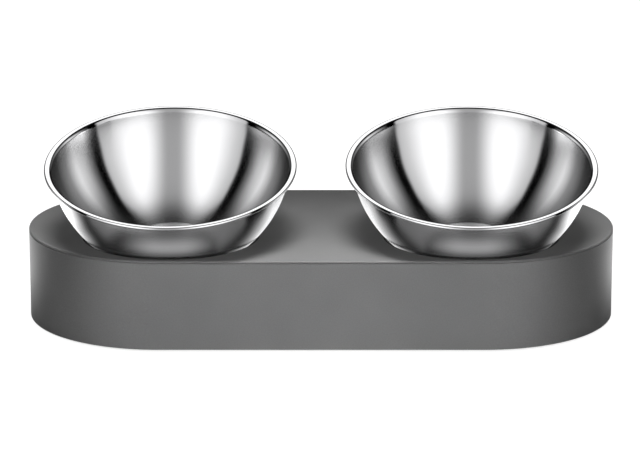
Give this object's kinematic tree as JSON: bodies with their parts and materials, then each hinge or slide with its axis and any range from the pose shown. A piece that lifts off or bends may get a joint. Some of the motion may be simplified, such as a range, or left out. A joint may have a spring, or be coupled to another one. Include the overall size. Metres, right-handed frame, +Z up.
{
  "type": "double pet bowl",
  "caption": "Low round-ended grey stand holding polished steel bowls that lean forward on turning seats and lift out.",
  "frame": {"origin": "on the floor, under the centre of the whole outline, the rims in front of the stand included", "axes": "+X to the object's right as seen from the front, +Y to the back, +Z up; the bowls lean to -Y"},
  "size_m": [0.352, 0.1744, 0.1161],
  "materials": {
    "grey_plastic": "fine matte grain",
    "dark_plastic": "matte",
    "inner_plastic": "matte",
    "holder_plastic": "satin",
    "glide_plastic": "smooth acetal",
    "bowl_steel": "mirror-polished stainless steel",
    "zinc_steel": "zinc plated",
    "foot_rubber": "matte",
    "gasket_rubber": "matte",
    "pad_rubber": "soft silicone"
  },
  "bodies": {
    "stand": {"stand_shell": "grey_plastic", "bottom_cover": "dark_plastic", "cover_screws": "zinc_steel", "pedestal_screws": "zinc_steel", "front_left_foot": "foot_rubber", "front_middle_foot": "foot_rubber", "front_right_foot": "foot_rubber", "back_left_foot": "foot_rubber", "back_middle_foot": "foot_rubber", "back_right_foot": "foot_rubber", "left_opening_gasket": "gasket_rubber", "left_pivot_pedestal": "inner_plastic", "left_glide_ring": "glide_plastic", "right_opening_gasket": "gasket_rubber", "right_pivot_pedestal": "inner_plastic", "right_glide_ring": "glide_plastic"},
    "left_holder": {"left_tilt_holder": "holder_plastic", "left_bowl_pad": "pad_rubber", "left_pivot_washer": "zinc_steel", "left_pivot_screw": "zinc_steel"},
    "left_bowl": {"left_bowl": "bowl_steel"},
    "right_holder": {"right_tilt_holder": "holder_plastic", "right_bowl_pad": "pad_rubber", "right_pivot_washer": "zinc_steel", "right_pivot_screw": "zinc_steel"},
    "right_bowl": {"right_bowl": "bowl_steel"}
  },
  "joints": [
    {"name": "left_tilt", "type": "hinge", "parent": "stand", "child": "left_holder", "pos_m": [-0.0895, -0.01683, 0.1056], "axis": [0, -0.1262, 0.992], "range_deg": [0, 180]},
    {"name": "left_lift", "type": "slide", "parent": "left_holder", "child": "left_bowl", "axis": [0, -0.2504, 0.9681], "range_m": [0, 0.065]},
    {"name": "right_tilt", "type": "hinge", "parent": "stand", "child": "right_holder", "pos_m": [0.0895, -0.01683, 0.1056], "axis": [0, 0.1262, -0.992], "range_deg": [0, 180]},
    {"name": "right_lift", "type": "slide", "parent": "right_holder", "child": "right_bowl", "axis": [0, -0.2504, 0.9681], "range_m": [0, 0.065]}
  ]
}
